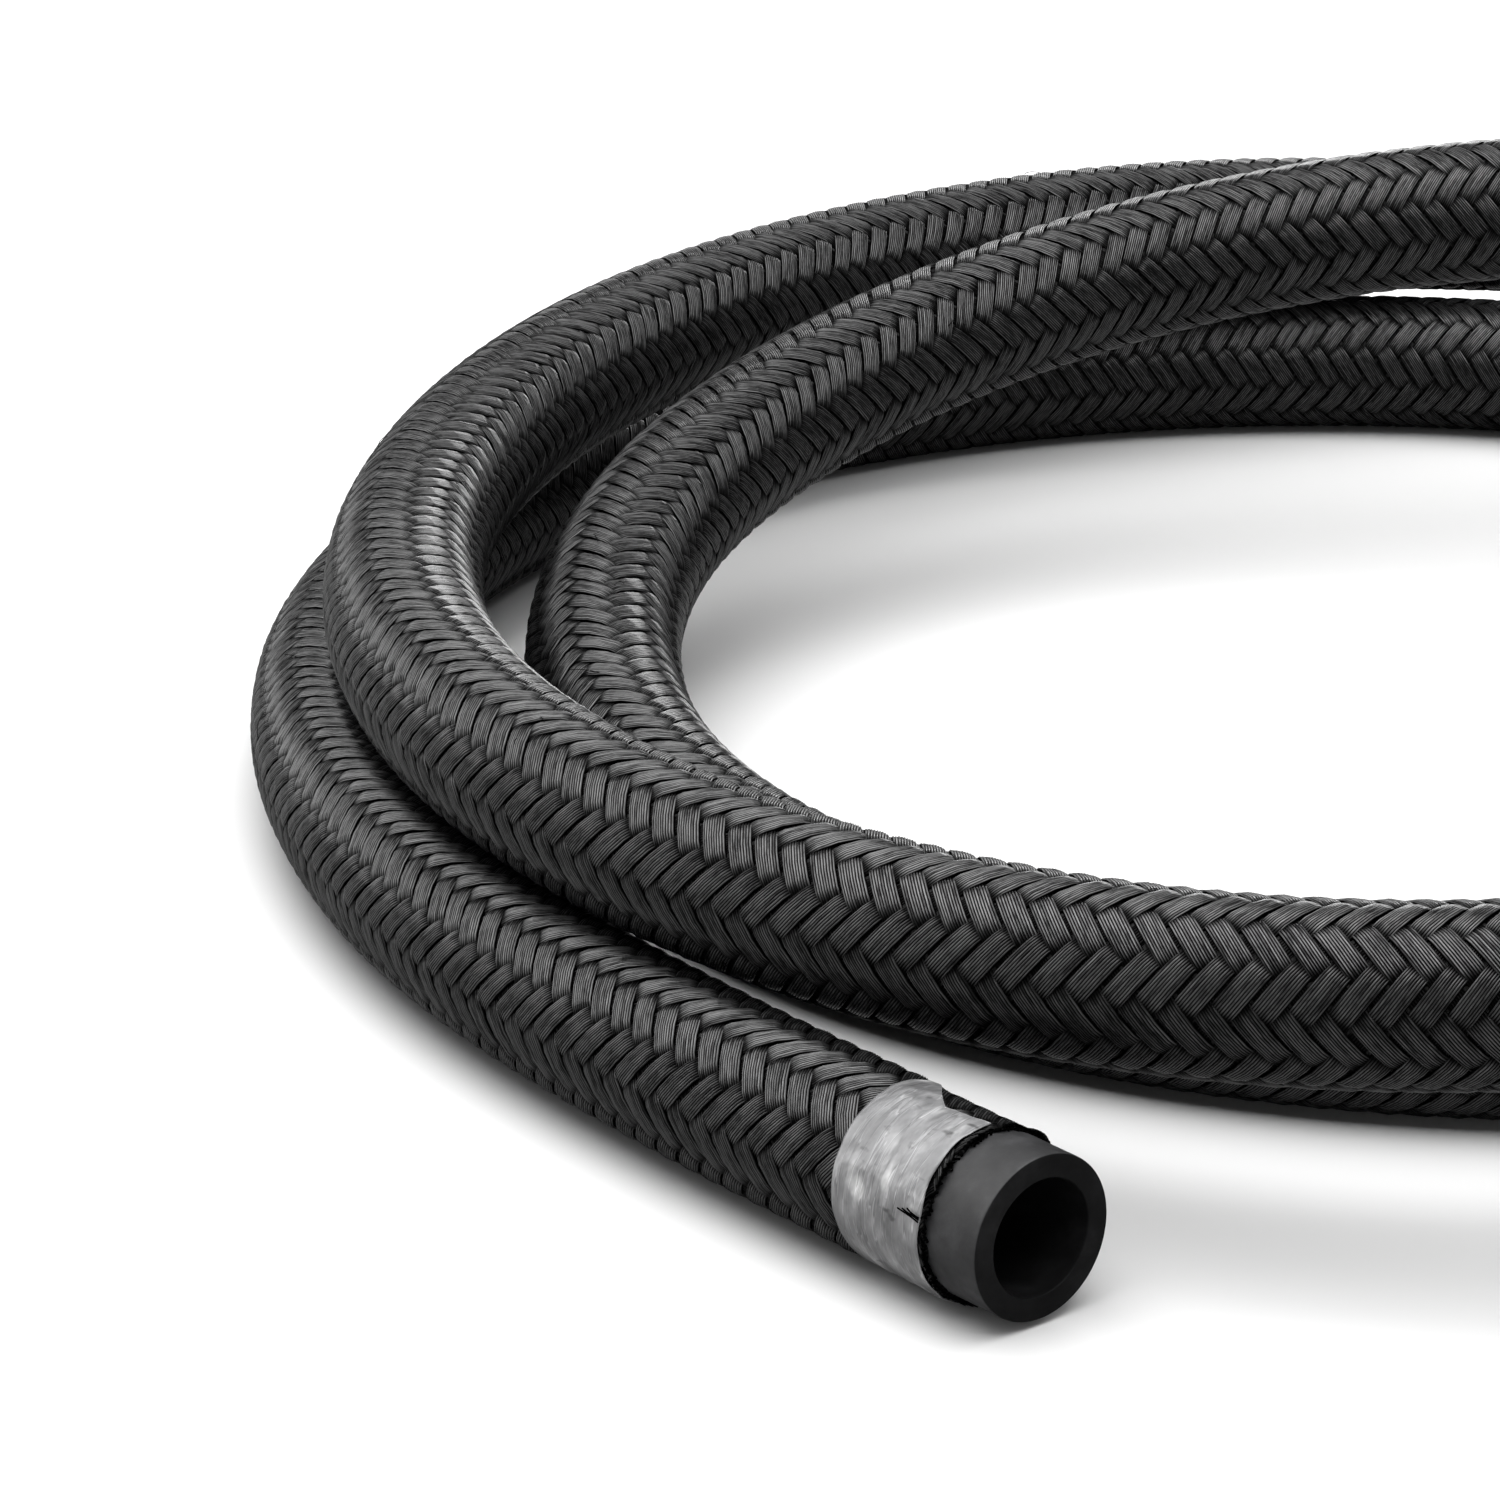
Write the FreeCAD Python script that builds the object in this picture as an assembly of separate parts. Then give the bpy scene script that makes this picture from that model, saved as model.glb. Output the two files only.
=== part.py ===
import FreeCAD, Part
import math
import os

# Coiled length of textile-braided hydraulic hose, both ends cut square and taped.
# Millimetres, +Z up, origin at the centre of the bounding box's bottom face.
# Liner and jacket are divided along the centreline: a tip, flex zones and spans at
# each end, and equal stretches of coil between them.

# ---- driving dimensions ----
BORE_D = 11.4            # bore of the rubber liner
LINER_D = 16.0           # outside of the rubber liner
HOSE_D = 17.4            # outside of the braid jacket
LAYER_GAP = 0.01         # clearance between liner, jacket and tape
STRAIGHT_END = 36.0      # straight run at each cut end
LINER_STANDOUT = 6.5     # liner standing out of the cut jacket
BRAID_EDGE = 0.8         # jacket standing out of the tape
TAPE_W = 10.4            # width of the tape wrap
TAPE_T = 0.2             # thickness of the tape wrap
TAPE_RELIEF = 0.7        # length past the tape over which the jacket stays pulled in
COIL_SECTIONS = 6        # equal stretches of the coil
FLEX_L = 6.0             # length of each flex zone, centred on its bend axis
# Bend axes at each end, measured from that end's cut face, the innermost first
HINGES = {
    "a": (80.0, 66.0, 52.0, 38.0),
    "b": (98.0, 78.0, 58.0, 38.0),
}

CUTTER_OVERRUN = 0.5     # jacket cutter starts this far outside the jacket's cut edge
CUTTER_MARGIN = 1.0      # jacket cutter reaches this far outside the hose
STRAIGHT_ANGLE = 1e-6    # radians; a piece that turns less is a straight line
MIN_EDGE = 1e-4          # shorter scraps of centreline are left out of a spine

# ---- derived dimensions ----
BORE_R, LINER_R, HOSE_R = BORE_D / 2, LINER_D / 2, HOSE_D / 2
JACKET_R = LINER_R + LAYER_GAP       # inside of the braid jacket
HALF_FLEX = FLEX_L / 2
TAPE_START = LINER_STANDOUT + BRAID_EDGE
TAPE_END = TAPE_START + TAPE_W
# Name, inner radius, outer radius
LAYERS = (
    ("liner", BORE_R, LINER_R),
    ("braid_jacket", JACKET_R, HOSE_R),
)

# Centreline way points between the two straight ends, from end A to end B:
# x, y, z, heading in the XY plane (deg), climb (deg)
WAY_POINTS = (
    (-103.630, -118.975, 8.701, 129.4779, 0.0000),
    (-118.911, -99.150, 8.701, 126.2222, 0.0000),
    (-132.675, -78.256, 8.701, 119.8333, 0.0000),
    (-143.413, -55.671, 8.701, 110.9552, 0.0000),
    (-150.548, -31.702, 8.701, 102.1771, 0.0000),
    (-153.875, -6.917, 8.701, 93.0749, 0.0000),
    (-153.192, 18.079, 8.701, 83.7054, 0.0000),
    (-148.287, 42.594, 8.701, 73.5425, 0.0000),
    (-139.041, 65.819, 8.701, 62.9765, 0.0000),
    (-125.610, 86.899, 8.701, 51.9592, 0.0000),
    (-108.363, 104.989, 8.701, 40.7191, 0.0000),
    (-87.869, 119.289, 8.701, 29.0361, 0.0000),
    (-64.890, 129.109, 8.701, 17.2066, 0.0000),
    (-40.374, 133.942, 8.701, 5.0668, 0.0000),
    (-15.391, 133.515, 8.701, -7.0341, 0.0000),
    (8.938, 127.823, 8.701, -19.3087, 0.0000),
    (31.515, 117.115, 8.701, -31.4353, 0.0000),
    (51.320, 101.882, 8.701, -43.7061, 0.0000),
    (67.460, 82.807, 8.701, -55.8166, 0.0000),
    (79.215, 60.758, 8.701, -68.0754, 0.0000),
    (86.045, 36.722, 8.701, -80.1911, 0.0000),
    (87.651, 11.788, 8.701, -92.4693, 0.0000),
    (83.931, -12.920, 8.701, -104.6435, 0.0000),
    (75.058, -36.277, 8.701, -117.0023, 0.0000),
    (61.395, -57.196, 8.701, -129.2942, 0.0000),
    (43.565, -74.698, 8.701, -141.8384, 0.0000),
    (22.351, -87.896, 8.701, -154.3864, 0.0000),
    (-1.240, -96.112, 8.701, -167.3286, 0.0000),
    (-26.077, -98.772, 8.701, 179.5375, 0.0000),
    (-50.852, -95.621, 8.702, 165.7824, 0.0209),
    (-74.115, -86.545, 8.732, 151.5609, 0.1966),
    (-94.361, -71.944, 8.988, 136.6635, 1.1568),
    (-110.072, -52.573, 9.931, 121.3971, 3.4061),
    (-120.001, -29.790, 12.150, 105.5353, 6.8406),
    (-123.223, -5.307, 15.732, 89.4442, 9.2348),
    (-119.521, 19.020, 19.871, 73.2727, 9.5824),
    (-109.314, 41.411, 24.056, 57.8209, 9.7751),
    (-93.588, 60.295, 28.445, 42.6714, 10.4038),
    (-73.589, 74.541, 32.991, 28.3585, 10.3307),
    (-50.664, 83.476, 37.260, 14.2756, 9.1395),
    (-26.156, 86.708, 40.831, 0.8447, 7.1659),
    (-1.445, 84.186, 43.449, -12.4949, 4.8247),
    (22.124, 76.070, 45.069, -25.4491, 2.6644),
    (43.310, 62.860, 45.846, -38.4846, 0.9684),
    (60.995, 45.217, 45.972, -51.3452, -0.3327),
    (74.298, 24.077, 45.596, -64.3501, -1.3568),
    (82.504, 0.495, 44.800, -77.2498, -2.2844),
    (85.224, -24.307, 43.599, -90.2898, -3.2173),
    (82.286, -49.063, 41.998, -103.2170, -4.1025),
    (73.887, -72.507, 40.033, -116.2613, -4.8750),
    (60.433, -93.434, 37.773, -129.1723, -5.4468),
    (42.662, -110.817, 35.314, -142.1420, -5.7914),
    (21.459, -123.778, 32.746, -154.9318, -5.9602),
    (-2.078, -131.742, 30.150, -167.7285, -5.8669),
    (-26.812, -134.320, 27.744, 179.6980, -4.9867),
    (-51.568, -131.481, 25.939, 167.1882, -3.1810),
    (-75.174, -123.355, 24.970, 154.8762, -1.3250),
    (-96.524, -110.380, 24.733, 142.4823, 0.2195),
    (-114.603, -93.135, 25.070, 130.3785, 1.0441),
    (-128.819, -72.582, 25.401, 118.9958, 0.4161),
    (-138.730, -49.638, 25.584, 107.7456, 0.6278),
    (-144.013, -25.211, 26.000, 96.7230, 1.2278),
    (-144.657, -0.228, 26.635, 86.3328, 1.7112),
    (-140.865, 24.467, 27.532, 76.2006, 2.3918),
    (-132.822, 48.115, 28.637, 66.2899, 2.4846),
    (-120.873, 70.059, 29.538, 56.5846, 1.5067),
    (-105.426, 89.718, 29.925, 47.1655, 0.3252),
    (-87.016, 106.643, 29.889, 38.0561, -0.4622),
    (-66.201, 120.498, 29.464, 29.3213, -1.6286),
    (-43.580, 131.109, 28.356, 20.9945, -3.4620),
    (-19.722, 138.414, 26.597, 13.1503, -4.2530),
    (4.897, 142.514, 24.896, 5.8379, -3.5068),
    (29.834, 143.568, 23.182, -0.8875, -5.0432),
    (54.596, 141.843, 20.075, -6.9977, -9.2434),
    (78.844, 137.654, 15.534, -12.5025, -10.8778),
    (102.672, 131.264, 11.353, -17.4279, -7.6260),
    (126.143, 122.875, 8.701, -21.7989, 0.0000),
)


# ---- centreline: straight ends joined by tangent-continuous pairs of arcs ----
class Piece:
    """One straight or circular piece of the centreline."""

    def __init__(self, start, tangent, end):
        chord = end - start
        chord_dir = chord * (1.0 / chord.Length)
        half_turn = math.acos(max(-1.0, min(1.0, tangent.dot(chord_dir))))
        self.start, self.tangent = start, tangent
        self.straight = half_turn < STRAIGHT_ANGLE
        if self.straight:
            self.length = chord.Length
        else:
            self.radius = chord.Length / (2 * math.sin(half_turn))
            axis = tangent.cross(chord_dir)
            axis.normalize()
            self.inward = axis.cross(tangent)
            self.length = 2 * half_turn * self.radius

    def point(self, along):
        if self.straight:
            return self.start + self.tangent * along
        turn = along / self.radius
        offset = self.tangent * math.sin(turn) + self.inward * (1 - math.cos(turn))
        return self.start + offset * self.radius

    def direction(self, along):
        if self.straight:
            return self.tangent
        turn = along / self.radius
        return self.tangent * math.cos(turn) + self.inward * math.sin(turn)

    def edge(self, begin, end):
        if self.straight:
            return Part.makeLine(self.point(begin), self.point(end))
        middle = self.point((begin + end) / 2)
        return Part.Arc(self.point(begin), middle, self.point(end)).toShape()


def unit_vector(heading, climb):
    heading, climb = math.radians(heading), math.radians(climb)
    return FreeCAD.Vector(
        math.cos(climb) * math.cos(heading),
        math.cos(climb) * math.sin(heading),
        math.sin(climb),
    )


def arc_pair(p0, t0, p1, t1):
    """Two arcs from p0 to p1, tangent to t0 and t1 and to each other."""
    chord, tangents = p1 - p0, t0 + t1
    bend = 2 * (1 - t0.dot(t1))
    along = chord.dot(tangents)
    # Equal tangent length at both ends, the positive root of a quadratic
    reach = (-along + math.sqrt(along ** 2 + bend * chord.dot(chord))) / bend
    joint = (p0 + t0 * reach + p1 - t1 * reach) * 0.5
    first = Piece(p0, t0, joint)
    return [first, Piece(joint, first.direction(first.length), p1)]


def make_centreline():
    way = [(FreeCAD.Vector(x, y, z), unit_vector(heading, climb))
           for x, y, z, heading, climb in WAY_POINTS]
    point, tangent = way[0]
    pieces = [Piece(point - tangent * STRAIGHT_END, tangent, point)]
    for (p0, t0), (p1, t1) in zip(way, way[1:]):
        pieces += arc_pair(p0, t0, p1, t1)
    point, tangent = way[-1]
    return pieces + [Piece(point, tangent, point + tangent * STRAIGHT_END)]


# A station is a distance along the centreline from cut face A.
CENTRELINE = make_centreline()
STATIONS = [0.0]
for piece in CENTRELINE:
    STATIONS.append(STATIONS[-1] + piece.length)
LENGTH = STATIONS[-1]


def locate(station):
    """Point and direction of the centreline at a station."""
    index = 0
    while index < len(CENTRELINE) - 1 and station > STATIONS[index + 1]:
        index += 1
    piece, along = CENTRELINE[index], station - STATIONS[index]
    return piece.point(along), piece.direction(along)


def spine(start, end):
    edges = []
    for piece, piece_start, piece_end in zip(CENTRELINE, STATIONS, STATIONS[1:]):
        low, high = max(start, piece_start), min(end, piece_end)
        if high - low > MIN_EDGE:
            edges.append(piece.edge(low - piece_start, high - piece_start))
    return Part.Wire(edges)


# ---- pieces ----
def tube(start, end, r_in, r_out):
    """Hollow tube between two stations."""
    point, tangent = locate(start)
    ring = Part.Face([Part.Wire(Part.makeCircle(radius, point, tangent))
                      for radius in (r_out, r_in)])
    ring.validate()
    body = spine(start, end).makePipe(ring)
    # The sweep may come back as a bare shell, or inside out
    solid = body.Solids[0] if body.Solids else Part.Solid(body.Shells[0])
    if solid.Volume < 0:
        solid.reverse()
    return solid


def end_tube(side, near, far, r_in, r_out):
    """Hollow tube between two distances from one end's cut face."""
    if side == "a":
        return tube(near, far, r_in, r_out)
    return tube(LENGTH - far, LENGTH - near, r_in, r_out)


def liner_tip(side, far):
    return end_tube(side, 0.0, far, BORE_R, LINER_R)


def jacket_tip(side, far):
    """Jacket from its cut edge, pulled in so that the tape lies flush with the braid."""
    jacket = end_tube(side, LINER_STANDOUT, far, JACKET_R, HOSE_R)
    cutter = end_tube(side, LINER_STANDOUT - CUTTER_OVERRUN, TAPE_END + TAPE_RELIEF,
                      HOSE_R - TAPE_T - LAYER_GAP, HOSE_R + CUTTER_MARGIN)
    return jacket.cut(cutter).Solids[0]


def tape_wrap(side):
    return end_tube(side, TAPE_START, TAPE_END - LAYER_GAP, HOSE_R - TAPE_T, HOSE_R)


parts = {}
for side, hinges in HINGES.items():
    tip_end = hinges[-1] - HALF_FLEX
    parts[f"liner_{side}_tip"] = liner_tip(side, tip_end)
    parts[f"braid_jacket_{side}_tip"] = jacket_tip(side, tip_end)
    parts[f"tape_wrap_{side}"] = tape_wrap(side)
    for layer, r_in, r_out in LAYERS:
        for number, hinge in enumerate(hinges, 1):
            parts[f"{layer}_{side}_flex{number}"] = end_tube(
                side, hinge - HALF_FLEX, hinge + HALF_FLEX, r_in, r_out)
        for number, (inner, outer) in enumerate(zip(hinges, hinges[1:]), 1):
            parts[f"{layer}_{side}_span{number}"] = end_tube(
                side, outer + HALF_FLEX, inner - HALF_FLEX, r_in, r_out)

coil_start = HINGES["a"][0] + HALF_FLEX
coil_end = LENGTH - HINGES["b"][0] - HALF_FLEX
coil_cuts = [coil_start + (coil_end - coil_start) * i / COIL_SECTIONS
             for i in range(COIL_SECTIONS + 1)]
for layer, r_in, r_out in LAYERS:
    for number, (start, end) in enumerate(zip(coil_cuts, coil_cuts[1:]), 1):
        parts[f"{layer}_coil_{number}"] = tube(start, end, r_in, r_out)

os.makedirs("parts", exist_ok=True)
for name, shape in parts.items():
    shape.exportStep(f"parts/{name}.step")
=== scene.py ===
"""A braided rubber hose coiled on a white floor (z = 0), +Z up.

The hose starts at end a, front left (-x, -y), makes nearly two and a half clockwise
turns seen from above, and stops at end b, back right (+x, +y). The camera is at -y.
At each end the bare liner stands out of the braid and a film of tape wraps the braid.
Hose sizes are in millimetres; meshes are built in metres.
"""
import bpy, math
import numpy as np
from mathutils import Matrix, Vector


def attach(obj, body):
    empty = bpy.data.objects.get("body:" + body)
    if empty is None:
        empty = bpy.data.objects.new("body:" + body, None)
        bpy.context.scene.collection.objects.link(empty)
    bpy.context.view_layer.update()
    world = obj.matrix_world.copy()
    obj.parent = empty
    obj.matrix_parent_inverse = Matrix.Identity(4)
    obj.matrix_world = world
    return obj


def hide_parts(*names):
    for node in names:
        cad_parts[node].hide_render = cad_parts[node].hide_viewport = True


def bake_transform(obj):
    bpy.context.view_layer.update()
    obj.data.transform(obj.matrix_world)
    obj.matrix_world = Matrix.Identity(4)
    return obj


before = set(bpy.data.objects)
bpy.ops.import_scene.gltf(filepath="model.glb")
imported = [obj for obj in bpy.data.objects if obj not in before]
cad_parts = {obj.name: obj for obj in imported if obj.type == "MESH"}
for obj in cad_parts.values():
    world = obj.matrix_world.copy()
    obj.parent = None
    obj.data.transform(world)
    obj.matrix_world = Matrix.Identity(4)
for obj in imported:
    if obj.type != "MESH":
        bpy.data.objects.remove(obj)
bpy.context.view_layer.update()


# ---------------------------------------------------------------- sizes (mm)
MM = 0.001
R_BORE, R_LINER, R_BACK, R_HOSE = 5.7, 8.0, 8.13, 8.7   # R_BACK: underside of the braid
BACK_GAP = 0.02                       # between the liner and the braid's underside
STANDOUT = 6.5                        # bare liner beyond the braid
TAPE_W = 10.4
TAPE_0 = STANDOUT + 0.8               # the tape starts this far from the cut face
TAPE_1 = TAPE_0 + TAPE_W
HINGES = {"a": (80.0, 66.0, 52.0, 38.0), "b": (98.0, 78.0, 58.0, 38.0)}  # from the cut face

LAY = 39.7                            # hose length for one turn of a yarn
N_YARN, FILAMENTS, YARN_W = 12, 9, 2.36   # yarns each way, filaments per yarn
PHASE = math.radians(-17.0)           # angle of the first yarn round the hose
LAY_ANGLE = math.atan(2 * math.pi * 8.5 / LAY)
PITCH = LAY / (2 * N_YARN)            # hose length between crossings

# Waypoints of the centreline: x, y, z (mm), heading and climb (degrees)
WAYPOINTS = np.array([
    (-80.7419, -146.762315, 8.701, 129.4779, 0), (-103.63, -118.975, 8.701, 129.4779, 0),
    (-118.911, -99.15, 8.701, 126.2222, 0), (-132.675, -78.256, 8.701, 119.8333, 0),
    (-143.413, -55.671, 8.701, 110.9552, 0), (-150.548, -31.702, 8.701, 102.1771, 0),
    (-153.875, -6.917, 8.701, 93.0749, 0), (-153.192, 18.079, 8.701, 83.7054, 0),
    (-148.287, 42.594, 8.701, 73.5425, 0), (-139.041, 65.819, 8.701, 62.9765, 0),
    (-125.61, 86.899, 8.701, 51.9592, 0), (-108.363, 104.989, 8.701, 40.7191, 0),
    (-87.869, 119.289, 8.701, 29.0361, 0), (-64.89, 129.109, 8.701, 17.2066, 0),
    (-40.374, 133.942, 8.701, 5.0668, 0), (-15.391, 133.515, 8.701, -7.0341, 0),
    (8.938, 127.823, 8.701, -19.3087, 0), (31.515, 117.115, 8.701, -31.4353, 0),
    (51.32, 101.882, 8.701, -43.7061, 0), (67.46, 82.807, 8.701, -55.8166, 0),
    (79.215, 60.758, 8.701, -68.0754, 0), (86.045, 36.722, 8.701, -80.1911, 0),
    (87.651, 11.788, 8.701, -92.4693, 0), (83.931, -12.92, 8.701, -104.6435, 0),
    (75.058, -36.277, 8.701, -117.0023, 0), (61.395, -57.196, 8.701, -129.2942, 0),
    (43.565, -74.698, 8.701, -141.8384, 0), (22.351, -87.896, 8.701, -154.3864, 0),
    (-1.24, -96.112, 8.701, -167.3286, 0), (-26.077, -98.772, 8.701, 179.5375, 0),
    (-50.852, -95.621, 8.702, 165.7824, 0.0209), (-74.115, -86.545, 8.732, 151.5609, 0.1966),
    (-94.361, -71.944, 8.988, 136.6635, 1.1568), (-110.072, -52.573, 9.931, 121.3971, 3.4061),
    (-120.001, -29.79, 12.15, 105.5353, 6.8406), (-123.223, -5.307, 15.732, 89.4442, 9.2348),
    (-119.521, 19.02, 19.871, 73.2727, 9.5824), (-109.314, 41.411, 24.056, 57.8209, 9.7751),
    (-93.588, 60.295, 28.445, 42.6714, 10.4038), (-73.589, 74.541, 32.991, 28.3585, 10.3307),
    (-50.664, 83.476, 37.26, 14.2756, 9.1395), (-26.156, 86.708, 40.831, 0.8447, 7.1659),
    (-1.445, 84.186, 43.449, -12.4949, 4.8247), (22.124, 76.07, 45.069, -25.4491, 2.6644),
    (43.31, 62.86, 45.846, -38.4846, 0.9684), (60.995, 45.217, 45.972, -51.3452, -0.3327),
    (74.298, 24.077, 45.596, -64.3501, -1.3568), (82.504, 0.495, 44.8, -77.2498, -2.2844),
    (85.224, -24.307, 43.599, -90.2898, -3.2173), (82.286, -49.063, 41.998, -103.217, -4.1025),
    (73.887, -72.507, 40.033, -116.2613, -4.875), (60.433, -93.434, 37.773, -129.1723, -5.4468),
    (42.662, -110.817, 35.314, -142.142, -5.7914),
    (21.459, -123.778, 32.746, -154.9318, -5.9602),
    (-2.078, -131.742, 30.15, -167.7285, -5.8669), (-26.812, -134.32, 27.744, 179.698, -4.9867),
    (-51.568, -131.481, 25.939, 167.1882, -3.181), (-75.174, -123.355, 24.97, 154.8762, -1.325),
    (-96.524, -110.38, 24.733, 142.4823, 0.2195), (-114.603, -93.135, 25.07, 130.3785, 1.0441),
    (-128.819, -72.582, 25.401, 118.9958, 0.4161), (-138.73, -49.638, 25.584, 107.7456, 0.6278),
    (-144.013, -25.211, 26.0, 96.723, 1.2278), (-144.657, -0.228, 26.635, 86.3328, 1.7112),
    (-140.865, 24.467, 27.532, 76.2006, 2.3918), (-132.822, 48.115, 28.637, 66.2899, 2.4846),
    (-120.873, 70.059, 29.538, 56.5846, 1.5067), (-105.426, 89.718, 29.925, 47.1655, 0.3252),
    (-87.016, 106.643, 29.889, 38.0561, -0.4622), (-66.201, 120.498, 29.464, 29.3213, -1.6286),
    (-43.58, 131.109, 28.356, 20.9945, -3.462), (-19.722, 138.414, 26.597, 13.1503, -4.253),
    (4.897, 142.514, 24.896, 5.8379, -3.5068), (29.834, 143.568, 23.182, -0.8875, -5.0432),
    (54.596, 141.843, 20.075, -6.9977, -9.2434), (78.844, 137.654, 15.534, -12.5025, -10.8778),
    (102.672, 131.264, 11.353, -17.4279, -7.626), (126.143, 122.875, 8.701, -21.7989, 0),
    (159.568746, 109.5064, 8.701, -21.7989, 0),
])


# ---------------------------------------------------------------- centreline
def direction(heading, climb):
    heading, climb = math.radians(heading), math.radians(climb)
    level = math.cos(climb)
    return np.array([level * math.cos(heading), level * math.sin(heading), math.sin(climb)])


def arc(start, tangent, stop):
    """Arc as start, tangent, direction to its centre, radius (0: straight) and length."""
    chord = stop - start
    chord_length = np.linalg.norm(chord)
    chord = chord / chord_length
    half_turn = math.acos(max(-1.0, min(1.0, float(tangent @ chord))))
    if half_turn < 1e-6:
        return (start, tangent, np.zeros(3), 0.0, chord_length)
    radius = chord_length / (2 * math.sin(half_turn))
    axis = np.cross(tangent, chord)
    axis /= np.linalg.norm(axis)
    return (start, tangent, np.cross(axis, tangent), radius, 2 * half_turn * radius)


def arc_pair(from_point, to_point):
    """Two arcs that meet tangentially and join two waypoints."""
    start, stop = from_point[:3], to_point[:3]
    leave, arrive = direction(*from_point[3:]), direction(*to_point[3:])
    gap, tangents = stop - start, leave + arrive
    spread = 2 * (1 - float(leave @ arrive))
    if spread < 1e-9:
        reach = (gap @ gap) / (4 * (gap @ arrive))
    else:
        along = gap @ tangents
        reach = (-along + math.sqrt(along ** 2 + spread * (gap @ gap))) / spread
    middle = (start + leave * reach + stop - arrive * reach) / 2
    first = arc(start, leave, middle)
    _, tangent, inward, radius, length = first
    turn = length / radius if radius else 0.0
    return [first, arc(middle, tangent * math.cos(turn) + inward * math.sin(turn), stop)]


ARCS = [piece for pair in zip(WAYPOINTS[:-1], WAYPOINTS[1:]) for piece in arc_pair(*pair)]
ARC_START, ARC_TANGENT, ARC_INWARD, ARC_RADIUS, ARC_LENGTH = map(np.array, zip(*ARCS))
ARC_STATION = np.r_[0, np.cumsum(ARC_LENGTH)]
LENGTH = float(ARC_STATION[-1])


def axes(stations):
    """Centre, tangent, side and up vectors of the hose at stations of any shape."""
    stations = np.asarray(stations, float)
    k = np.clip(np.searchsorted(ARC_STATION, stations, side="right") - 1, 0, len(ARC_LENGTH) - 1)
    run = stations - ARC_STATION[k]
    radius = ARC_RADIUS[k]
    straight = radius == 0
    turn = (run / np.where(straight, 1, radius))[..., None]
    run, radius, straight = run[..., None], radius[..., None], straight[..., None]
    start, heading, inward = ARC_START[k], ARC_TANGENT[k], ARC_INWARD[k]
    bow = np.sin(turn) * heading + (1 - np.cos(turn)) * inward
    centre = np.where(straight, start + heading * run, start + radius * bow)
    tangent = np.where(straight, heading, np.cos(turn) * heading + np.sin(turn) * inward)
    side = np.cross(np.array([0, 0, 1.0]), tangent)
    side /= np.linalg.norm(side, axis=-1, keepdims=True)
    return centre, tangent, side, np.cross(tangent, side)


def at(stations, angle, radius):
    """Points (m) round the hose; the angle runs from the side vector towards up."""
    centre, _, side, up = axes(stations)
    spoke = np.cos(angle)[..., None] * side + np.sin(angle)[..., None] * up
    return (centre + np.asarray(radius)[..., None] * spoke) * MM


def station(end, setback):
    """Station at a distance from the cut face of an end."""
    return setback if end == "a" else LENGTH - setback


def smooth(x):
    x = np.clip(x, 0, 1)
    return x * x * (3 - 2 * x)


# ---------------------------------------------------------------- mesh helpers
def mesh_object(name, material, verts, quads, tris=(), **point_values):
    """Smooth-shaded mesh; each of point_values becomes a float attribute on its points."""
    me = bpy.data.meshes.new(name)
    quads = np.asarray(quads, np.int32).reshape(-1, 4)
    tris = np.asarray(tris, np.int32).reshape(-1, 3)
    loops = np.r_[quads.ravel(), tris.ravel()].astype(np.int32)
    totals = np.r_[np.full(len(quads), 4), np.full(len(tris), 3)].astype(np.int32)
    starts = np.r_[0, np.cumsum(totals)[:-1]].astype(np.int32)
    me.vertices.add(len(verts))
    me.vertices.foreach_set("co", np.asarray(verts, np.float32).ravel())
    me.loops.add(len(loops))
    me.loops.foreach_set("vertex_index", loops)
    me.polygons.add(len(totals))
    me.polygons.foreach_set("loop_start", starts)
    me.polygons.foreach_set("loop_total", totals)
    me.polygons.foreach_set("use_smooth", np.full(len(totals), True))
    for key, values in point_values.items():
        attribute = me.attributes.new(key, "FLOAT", "POINT")
        attribute.data.foreach_set("value", np.asarray(values, np.float32).ravel())
    me.update(calc_edges=True)
    me.validate(clean_customdata=False)
    me.materials.append(material)
    ob = bpy.data.objects.new(name, me)
    bpy.context.scene.collection.objects.link(ob)
    return ob


def grid_quads(n_rows, n_columns, close_rows=False, close_columns=False):
    """Quads of a grid of points; corners run down the rows first."""
    i, j = np.meshgrid(np.arange(n_rows - (not close_rows)),
                       np.arange(n_columns - (not close_columns)), indexing="ij")
    next_i, next_j = (i + 1) % n_rows, (j + 1) % n_columns
    corners = (i, j), (next_i, j), (next_i, next_j), (i, next_j)
    return np.stack([row * n_columns + column for row, column in corners], -1).reshape(-1, 4)


def loft_quads(n_rows, n_columns):
    """Quads between closed rings; corners run round the ring first."""
    return grid_quads(n_rows, n_columns, close_columns=True)[:, [0, 3, 2, 1]]


def join(parts):
    """Several (vertices, quads, triangles) as one."""
    verts, quads, tris = zip(*parts)
    offsets = np.cumsum([0] + [len(points) for points in verts[:-1]])
    return (np.concatenate(verts),
            np.concatenate([faces + offset for faces, offset in zip(quads, offsets)]),
            np.concatenate([faces + offset for faces, offset in zip(tris, offsets)]))


# ---------------------------------------------------------------- yarns
# Section of a yarn: a ridge per filament on top, then three points underneath
N_TOP = 2 * FILAMENTS + 1
TOP_ACROSS = np.linspace(-0.5, 0.5, N_TOP) * YARN_W
TOP_HEIGHT = np.where(np.arange(N_TOP) % 2 == 1, 0.155, 0.03)
TOP_HEIGHT[0] = TOP_HEIGHT[-1] = -0.05
UNDER = [N_TOP - 3, FILAMENTS, 2]     # top points that the underside points lie below
ACROSS = np.r_[TOP_ACROSS, TOP_ACROSS[UNDER]]
N_RING = len(ACROSS)

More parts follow.
